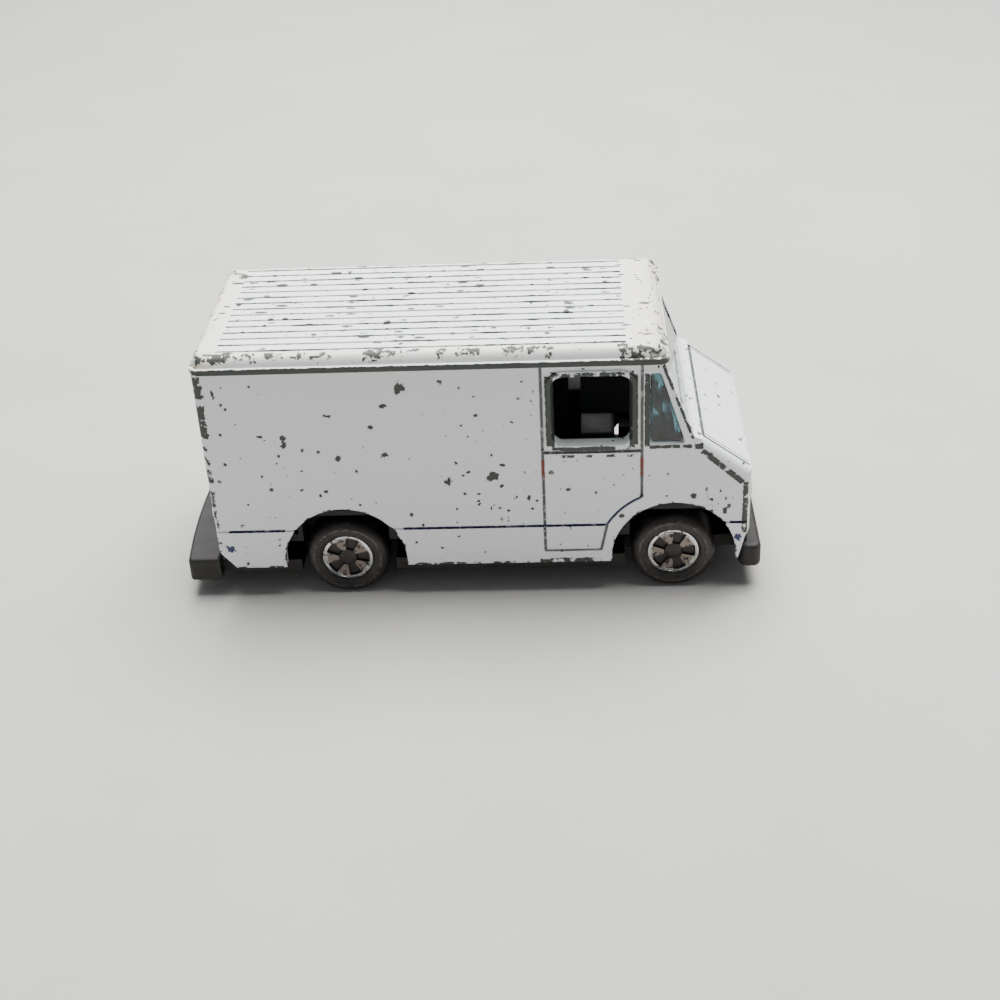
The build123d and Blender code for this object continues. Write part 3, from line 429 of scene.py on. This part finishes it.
# single chips on the right side: x, z, width and height
SIDE_CHIPS = (
    (-7.3, 30.3, 1.1, 1.5), (3.6, 17.5, 1.2, 1.2), (-1.9, 16.9, 0.8, 1.0), (-22.1, 22.8, 0.6, 1.0),
    (-9.7, 21.1, 0.8, 0.5), (-16.2, 26.7, 0.9, 0.35), (-25.0, 24.0, 0.8, 0.3), (-29.9, 30.1, 0.4, 1.0),
    (-9.4, 27.9, 0.7, 0.4), (-17.5, 15.9, 0.5, 0.4), (-18.2, 15.4, 0.4, 0.35), (-20.5, 16.2, 0.4, 0.4),
    (4.8, 19.2, 0.6, 0.4), (4.6, 16.2, 0.5, 0.4), (7.9, 14.4, 0.4, 0.6), (0.6, 18.3, 0.5, 0.4),
    (32.5, 12.0, 0.5, 0.9), (30.8, 13.6, 0.5, 0.5), (31.9, 14.8, 0.4, 0.5), (-22.8, 21.2, 0.4, 0.4),
)
# single chips on the roof: x, y, length and width
ROOF_CHIPS = (
    (-24.1, 7.2, 1.5, 0.6), (-19.7, 7.2, 0.9, 0.5), (-14.0, 8.8, 0.9, 0.7), (-12.8, 5.1, 0.6, 0.6),
    (-6.8, 3.5, 0.8, 0.7), (-17.1, 10.7, 1.2, 0.7), (-9.0, -5.0, 0.9, 0.8), (-23.8, -3.2, 0.6, 0.6),
    (-29.6, 10.2, 1.0, 1.2), (-6.3, -1.2, 0.8, 0.5),
)
CHIP_SPREAD = 0.88                      # a chip's half size, as a share of its size, before noise tears it
CHIP_DEPTH = 0.6                        # how far a chip reaches through the skin

CREAM_ZONES = (
    Zone((21.4, 25.6), (0.0, 13.9), (33.4, 35.0), 0.9, 1.6),
    Zone((-32.6, -30.2), (0.0, 13.9), (33.6, 35.0), 0.9, 1.6),
    Zone((-32.6, 25.6), (12.5, 13.2), (34.0, 35.0), 0.8, 0.7),
)
SCRATCH_ZONES = (
    Zone((23.0, 25.0), (0.0, 11.5), (33.4, 34.9), 1.0, 0.5),
    Zone((-32.5, -30.8), (0.0, 12.5), (33.8, 34.9), 1.0, 0.4),
)
SPECKLED_SIDE = Zone((-2.0, 11.0), SKIN, (12.0, 28.0), 1.0, 3.0)
ROOF_TOP = Zone((-31.5, 24.0), (0.0, 13.0), (34.3, 35.0), 1.0, 0.2)
# the casting's inner faces, which the spray never reached
INNER_ZONES = (
    Zone((-30.9, 22.4), (0.0, 12.4), (4.0, 33.52), 1.0, 0.12),
    Zone((22.0, 27.4), (0.0, 12.4), (4.0, 20.5), 1.0, 0.12),
    Zone((27.0, 34.3), (0.0, 12.4), (4.0, 15.5), 1.0, 0.12),
)


@dataclass(frozen=True)
class ChippedEnamel:
    """White stoving enamel, sprayed on a zinc casting and knocked about for years.

    The film is a fraction of a millimetre thick, so each chip has a lip that catches the light,
    and the bare zinc in it has dulled to a flat dark grey.
    """

    name: str = "enamel-white-on-zinc-casting"
    white: str = "#ECEFEF"
    cream: str = "#E9E3CC"
    zinc: str = "#454945"
    # the grooves' dark grey: dirt and painted shade
    groove_dirt_and_shade: str = "#4A4E4D"
    inside: str = "#7C7E7A"
    blue: str = "#262D5C"
    red: str = "#8C3A2A"
    film: float = 0.13                  # thickness in millimetres
    tear_size: float = 0.9              # the size of the tears in a chip's outline

    def chips(self, surface: Surface, mirrored: Socket) -> Socket:
        """Where the film has gone.

        Args:
            surface: the material in the making.
            mirrored: coordinates that make both sides alike.

        Returns:
            The mask of bare metal.
        """
        loose = surface.warped(mirrored, 0.8, 0.55)
        tight = surface.warped(mirrored, 0.6, 0.14)
        ragged = surface.warped(surface.mm, 0.5, 0.30)
        shoulder = tuple(Zone((start, end), SHOULDER_Y, SHOULDER, amount, 0.7)
                         for start, end, amount in SHOULDER_CHIPS)
        single = tuple(Spot((x, SIDE_MIDDLE_Y, z), (w * CHIP_SPREAD, CHIP_DEPTH, h * CHIP_SPREAD))
                       for x, z, w, h in SIDE_CHIPS)
        single += tuple(Spot((x, y, ROOF_MIDDLE_Z), (w * CHIP_SPREAD, h * CHIP_SPREAD, CHIP_DEPTH))
                        for x, y, w, h in ROOF_CHIPS)
        rim = surface.band(surface.from_axle(tight), ARCH_RADIUS, 0.12, 0.3)
        amount = surface.blend("MAXIMUM", surface.near(EDGE_WEAR + shoulder, loose),
                               surface.near(BEADS, tight), surface.spots(single, ragged),
                               surface.blend("MULTIPLY", rim, 0.43))
        noise = surface.add("TexNoise", {"Vector": surface.mm, "Scale": 1 / self.tear_size,
                                         "Detail": 7.0, "Roughness": 0.66})
        torn = surface.cut(surface.blend("ADD", noise, amount), TORN_LEVEL, 0.02)
        drawn = surface.add("Mapping", {"Vector": ragged, "Scale": (0.5, 1.3, 1.0)})
        return surface.blend(
            "MAXIMUM", torn,
            surface.flecks(ragged, 2.2, 0.22, 0.25, 0.03),
            surface.flecks(ragged, 1.1, 0.25, 0.50, 0.04),
            surface.blend("MULTIPLY", surface.flecks(ragged, 0.9, 0.32, 0.52, 0.05),
                          surface.near((SPECKLED_SIDE,), mirrored)),
            surface.blend("MULTIPLY", surface.flecks(drawn, 1.15, 0.38, 0.25, 0.03),
                          surface.near((ROOF_TOP,), mirrored)))

    def roof_lines(self, surface: Surface) -> Socket:
        """The roof's grooves, dark with dirt and painted shade: a line every pitch across the roof.

        Args:
            surface: the material in the making.

        Returns:
            The lines' mask.
        """
        high = mm_box("body_shell")[1]
        place = surface.warped(surface.mm, 0.7, 0.13)
        across = surface.add("SeparateXYZ", {0: place}, out=1)
        shifted = surface.blend("ADD", across, ROOF_GROOVE_SPAN / 2)
        half_pitch = ROOF_GROOVE_SPAN / (ROOF_GROOVES - 1) / 2
        away = surface.add("Math", {0: shifted, 1: half_pitch}, operation="PINGPONG")
        thick = surface.spread(surface.patches(2.4, 0.55, 0.1, (0.5, 1.5, 1)), 0.15, 0.28)
        line = surface.cut(surface.blend("SUBTRACT", thick, away), 0.0, 0.06)
        ends = Zone((-29.2, 20.2), (-12.3, 12.3), (high.z - 0.6, high.z + 0.2), 1.0, 0.1)
        rough = surface.patches(1.1, 0.42, 0.08, (0.6, 1.6, 1))
        return surface.blend("MULTIPLY", line, surface.near((ends,), surface.mm),
                             surface.spread(rough, 0.5, 0.95))

    def build(self) -> bpy.types.Material:
        """Make the material.

        Returns:
            The finished material.
        """
        s = Surface(self.name)
        mirrored = s.mirrored()
        fine = s.warped(mirrored, 0.5, 0.04)
        chips = self.chips(s, mirrored)
        broken = s.spread(s.patches(0.8, 0.40, 0.08), 0.5, 1.0)
        cream = s.blend("MULTIPLY", s.near(CREAM_ZONES, mirrored),
                        s.spread(s.patches(2.2, 0.45, 0.15), 0.4, 1.0))
        slant = s.add("Mapping", {"Vector": s.mm, "Rotation": (0.0, 0.0, 0.6), "Scale": (1.0, 0.25, 1.0)})
        thin = s.cut(s.add("TexNoise", {"Vector": slant, "Scale": 2.2, "Detail": 4.0}), 0.63, 0.02)
        scratches = s.blend("MULTIPLY", s.near(SCRATCH_ZONES, mirrored), thin)
        arc = s.band(s.from_axle(fine), ARC_RADIUS, 0.15, 0.06)
        arc = s.blend("MULTIPLY", arc, s.near((BLUE_ARC,), mirrored))
        blobs = s.blend("ADD", s.spots(BLUE_SPOTS, s.warped(mirrored, 0.4, 0.3)),
                        s.add("TexNoise", {"Vector": s.mm, "Scale": 2.4, "Detail": 4.0}))
        colour = s.layered(self.white, [
            (self.cream, cream),
            (self.inside, s.near(INNER_ZONES, mirrored)),
            # the grooves' dark lines: dirt and painted shade
            (self.groove_dirt_and_shade, self.roof_lines(s)),
            (self.groove_dirt_and_shade, s.blend("MULTIPLY", s.near(SHADED_DIRTY_GROOVES, fine), broken)),
            (self.blue, s.blend("MULTIPLY", s.blend("MAXIMUM", s.near(BLUE_LINES, fine), arc), broken)),
            (self.red, s.blend("MULTIPLY", s.near(RED_MARKS, fine), broken)),
            (self.blue, s.cut(blobs, TORN_LEVEL, 0.03)),
            (self.zinc, s.blend("MAXIMUM", chips, scratches)),
        ])
        rough = s.add("Math", {0: chips, 1: 0.22, 2: 0.36}, operation="MULTIPLY_ADD")
        return s.shade({"Base Color": colour, "Roughness": rough,
                        "Metallic": s.blend("MULTIPLY", chips, 0.3)},
                       s.blend("SUBTRACT", 1.0, chips), self.film)


@dataclass(frozen=True)
class RubbedPlastic:
    """Black plastic, injection moulded and rubbed: brown-black, with paler scuffs where it was handled, and
    on a wheel a paler ring that is a painted highlight.
    """

    name: str
    black: str = "#0F0C0A"
    scuff_and_highlight: str = "#4C423D"
    roughness: float = 0.60
    grain: float = 0.35
    scuff_level: float = 0.62
    edges: tuple[Zone, ...] = ()
    highlight_ring_radius: float = 0.0           # a ring of painted highlight about the axle, where it has one

    def build(self) -> bpy.types.Material:
        """Make the material.

        Returns:
            The finished material.
        """
        s = Surface(self.name)
        clouds = s.patches(2.6, 0.5, 0.2)
        scuffs = s.blend("MAXIMUM", s.patches(0.7, self.scuff_level, 0.05, (0.7, 1, 1.4)),
                         s.flecks(s.warped(s.mm, 0.4, 0.15), 0.9, 0.2, 0.85))
        rubbed_and_painted_light: Socket | float = s.near(self.edges, s.mirrored())
        # on a wheel, the paler ring about the axle is a painted highlight on the tyre's shoulder
        if self.highlight_ring_radius:
            ring = s.blend("MULTIPLY", s.band(s.from_axle(s.mm), self.highlight_ring_radius, 0.08, 0.25), 0.46)
            rubbed_and_painted_light = s.blend("MAXIMUM", ring, rubbed_and_painted_light)
        torn = s.add("TexNoise", {"Vector": s.mm, "Scale": 1.4, "Detail": 6.0, "Roughness": 0.6})
        rubbed_and_painted_light = s.cut(s.blend("ADD", torn, rubbed_and_painted_light), TORN_LEVEL, 0.05)
        colour = s.layered(self.black, [(self.scuff_and_highlight, s.blend("MULTIPLY", clouds, 0.15)),
                                        (self.scuff_and_highlight, s.blend("MULTIPLY", scuffs, 0.4)),
                                        (self.scuff_and_highlight, s.blend("MULTIPLY", rubbed_and_painted_light, 0.8))])
        fine = s.add("TexNoise", {"Vector": s.mm, "Scale": 1 / self.grain, "Detail": 4.0})
        rough = s.add("Math", {0: scuffs, 1: 0.18, 2: self.roughness}, operation="MULTIPLY_ADD")
        return s.shade({"Base Color": colour, "Roughness": rough}, fine, 0.02)


@dataclass(frozen=True)
class TintedClear:
    """Tinted polystyrene, moulded clear: smooth, glassy, blue-green where it is thick."""

    name: str = "polystyrene-clear-tinted-moulding"
    tint: str = "#335A62"
    haze: str = "#2C4D55"
    index: float = 1.59

    def build(self) -> bpy.types.Material:
        """Make the material.

        Returns:
            The finished material.
        """
        s = Surface(self.name)
        marks = s.patches(1.4, 0.58, 0.06, (1, 1, 0.5))
        colour = s.layered(self.tint, [(self.haze, marks)])
        fine = s.add("TexNoise", {"Vector": s.mm, "Scale": 0.4, "Detail": 2.0})
        return s.shade({"Base Color": colour, "Roughness": s.spread(marks, 0.05, 0.16), "IOR": self.index,
                        "Transmission Weight": 1.0}, fine, 0.006)


@dataclass(frozen=True)
class DrawnWire:
    """Drawn steel wire, cut to length and headed: dull bright metal with brown tarnish."""

    name: str = "steel-drawn-wire"
    bright: str = "#A9A9A8"
    tarnish: str = "#55504C"

    def build(self) -> bpy.types.Material:
        """Make the material.

        Returns:
            The finished material.
        """
        s = Surface(self.name)
        dull = s.patches(0.7, 0.60, 0.04)
        fine = s.add("TexNoise", {"Vector": s.mm, "Scale": 2.5, "Detail": 3.0})
        return s.shade({"Base Color": s.layered(self.bright, [(self.tarnish, dull)]), "Metallic": 1.0,
                        "Roughness": s.spread(dull, 0.3, 0.55)}, fine, 0.015)


@dataclass(frozen=True)
class StampedFoil:
    """Chrome foil, hot-stamped on a wheel's face: bright on the ring, and on the spokes a rubbed warm grey
    that is partly a painted reflection of wood.
    """

    name: str = "foil-chrome-hot-stamped"
    bright: str = "#C9C9C7"
    # the spokes' warm grey: rubbed foil and a painted reflection of wood
    rubbed_and_painted_light: str = "#857B74"
    bare: str = "#241E1B"
    ring_from: float = 2.72             # where the ring starts, out from the axle

    def build(self) -> bpy.types.Material:
        """Make the material.

        Returns:
            The finished material.
        """
        s = Surface(self.name)
        ring = s.cut(s.from_axle(s.mm), self.ring_from, 0.04)
        worn = s.add("TexNoise", {"Vector": s.mm, "Scale": 1.5, "Detail": 6.0, "Roughness": 0.6})
        gone = s.cut(s.blend("SUBTRACT", worn, s.blend("MULTIPLY", ring, 0.06)), 0.54, 0.03)
        colour = s.layered(self.rubbed_and_painted_light, [(self.bright, ring), (self.bare, gone)])
        fine = s.add("TexNoise", {"Vector": s.mm, "Scale": 2.5, "Detail": 3.0})
        return s.shade({"Base Color": colour, "Metallic": s.blend("SUBTRACT", 1.0, gone),
                        "Roughness": s.spread(ring, 0.32, 0.14)}, fine, 0.02)


@dataclass(frozen=True)
class StudioPaper:
    """Matt seamless paper: pale, even, with the faintest mottle."""

    name: str = "paper-seamless-matt"
    pale: str = "#BBB9B5"
    shade_of: str = "#B6B4B0"

    def build(self) -> bpy.types.Material:
        """Make the material.

        Returns:
            The finished material.
        """
        s = Surface(self.name)
        colour = s.layered(self.pale, [(self.shade_of, s.patches(30.0, 0.5, 0.2))])
        return s.shade({"Base Color": colour, "Roughness": 0.9})


def dress(nodes: list[str], material: bpy.types.Material) -> None:
    """Put a material on every slot of some CAD nodes.

    Args:
        nodes: the nodes' names.
        material: what they are made of.
    """
    for name in nodes:
        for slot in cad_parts[name].material_slots:
            slot.material = material
        LOG.info("%s: %s", name, material.name)


class Corner(Enum):
    """The wheels' places."""

    FRONT_LEFT = "front_left"
    FRONT_RIGHT = "front_right"
    REAR_LEFT = "rear_left"
    REAR_RIGHT = "rear_right"


class Leaf(Enum):
    """The rear doors."""

    LEFT = "rear_door_left"
    RIGHT = "rear_door_right"


@dataclass
class Camera:
    """The camera: place in millimetres, and the way it looks in radians."""

    place: Triple = (13.69, -180.10, 117.25)
    yaw: float = -0.05617
    pitch: float = 0.55417
    roll: float = -0.05059
    lens: float = 56.18

    def build(self) -> bpy.types.Object:
        """Make the camera and give it to the scene.

        Returns:
            The camera.
        """
        ahead = Vector((math.sin(self.yaw) * math.cos(self.pitch), math.cos(self.yaw) * math.cos(self.pitch),
                        -math.sin(self.pitch)))
        level = Vector((math.cos(self.yaw), -math.sin(self.yaw), 0.0))
        up = level.cross(ahead)
        right = level * math.cos(self.roll) + up * math.sin(self.roll)
        up = right.cross(ahead)
        data = bpy.data.cameras.new("camera")
        data.lens = self.lens
        data.sensor_width = 36.0
        data.clip_start = MM
        camera = bpy.data.objects.new("camera", data)
        bpy.context.scene.collection.objects.link(camera)
        rows = [(right[i], up[i], -ahead[i], self.place[i] * MM) for i in range(3)]
        camera.matrix_world = Matrix((*rows, (0, 0, 0, 1)))
        bpy.context.scene.camera = camera
        return camera


@dataclass
class Softbox:
    """A square soft light, placed in millimetres and aimed at the van."""

    name: str
    place: Triple
    size: float
    power: float
    colour: str = "#FFFFFF"
    aim: Triple = (0, 0, 15)

    def build(self) -> None:
        """Make the light."""
        data = bpy.data.lights.new(self.name, "AREA")
        data.size = self.size * MM
        data.energy = self.power
        data.color = linear(self.colour)[:3]
        light = bpy.data.objects.new(self.name, data)
        bpy.context.scene.collection.objects.link(light)
        place = Vector(self.place) * MM
        turn = (Vector(self.aim) * MM - place).to_track_quat("-Z", "Y")
        light.matrix_world = Matrix.Translation(place) @ turn.to_matrix().to_4x4()


@dataclass
class Studio:
    """Floor, sky and lights."""

    floor_size: float = 2600.0
    sky: str = "#E6ECF2"
    sky_power: float = 0.27
    lights: list[Softbox] = field(default_factory=lambda: [
        Softbox("key-above", (40, 120, 420), 380, 7.6),
        Softbox("fill-right", (-240, -380, 150), 300, 0.08),
        Softbox("fill-left", (-80, 420, 200), 300, 0.8),
    ])

    def build(self) -> None:
        """Make the floor, the sky and the lights."""
        bpy.ops.mesh.primitive_plane_add(size=self.floor_size * MM)
        floor = bpy.context.object
        floor.name = "floor"
        floor.data.materials.append(StudioPaper().build())
        world = bpy.data.worlds.new("sky")
        bpy.context.scene.world = world
        world.use_nodes = True
        background = world.node_tree.nodes["Background"]
        background.inputs["Color"].default_value = linear(self.sky)
        background.inputs["Strength"].default_value = self.sky_power
        for light in self.lights:
            light.build()


@dataclass
class BodyShell:
    """The zinc casting in its enamel."""

    finish: ChippedEnamel = ChippedEnamel()

    def build(self) -> None:
        """Dress the casting."""
        dress(["body_shell"], self.finish.build())


@dataclass
class BasePlate:
    """The black base with its front bumper and rear step, rubbed along their outer edges."""

    half_width: float = 13.8
    rub_width: float = 0.5
    rub_drop: float = 0.9

    def edges(self) -> tuple[Zone, ...]:
        """The upper outer edges of the bumper and the step.

        Returns:
            A worn zone for each.
        """
        low, high = mm_box("base_plate")
        tall = (high.z - self.rub_drop, high.z)
        across = (0.0, self.half_width)
        return (Zone((high.x - self.rub_width, high.x), across, tall, 0.40, 0.4),
                Zone((low.x, low.x + self.rub_width), across, tall, 0.40, 0.4))

    def build(self) -> None:
        """Dress the base."""
        dress(["base_plate"], RubbedPlastic("plastic-black-base-moulding", edges=self.edges()).build())


@dataclass
class Cabin:
    """The tinted glazing and the black moulding behind it."""

    def build(self) -> None:
        """Dress both."""
        dress(["window_insert"], TintedClear().build())
        dress(["interior_insert"], RubbedPlastic("plastic-black-interior-moulding", black="#201F1E",
                                                 scuff_and_highlight="#2C2B2A", roughness=0.7).build())


@dataclass
class RunningGear:
    """Two wire axles, four moulded wheels and the foil on their faces."""

    # radius of the painted highlight ring on the tyres
    highlight_ring_radius: float = 4.35

    def build(self) -> None:
        """Dress the axles, the wheels and the foils."""
        dress(["front_axle", "rear_axle"], DrawnWire().build())
        dress([f"wheel_{corner.value}" for corner in Corner],
              RubbedPlastic("plastic-black-wheel-moulding", black="#171311", scuff_and_highlight="#5A504B", roughness=0.42,
                            highlight_ring_radius=self.highlight_ring_radius).build())
        dress([f"wheel_foil_{corner.value}" for corner in Corner], StampedFoil().build())


@dataclass
class RearDoors:
    """The two rear door leaves."""

    def build(self) -> None:
        """Dress both leaves."""
        dress([leaf.value for leaf in Leaf], RubbedPlastic("plastic-black-door-moulding").build())


def main() -> None:
    """Build the studio, then the van one sub-assembly at a time."""
    logging.basicConfig(level=logging.INFO, format="%(name)s: %(message)s")
    for piece in (Camera(), Studio(), BodyShell(), BasePlate(), Cabin(), RunningGear(), RearDoors()):
        piece.build()
        LOG.info("%s built", type(piece).__name__)


if __name__ == "__main__":
    main()
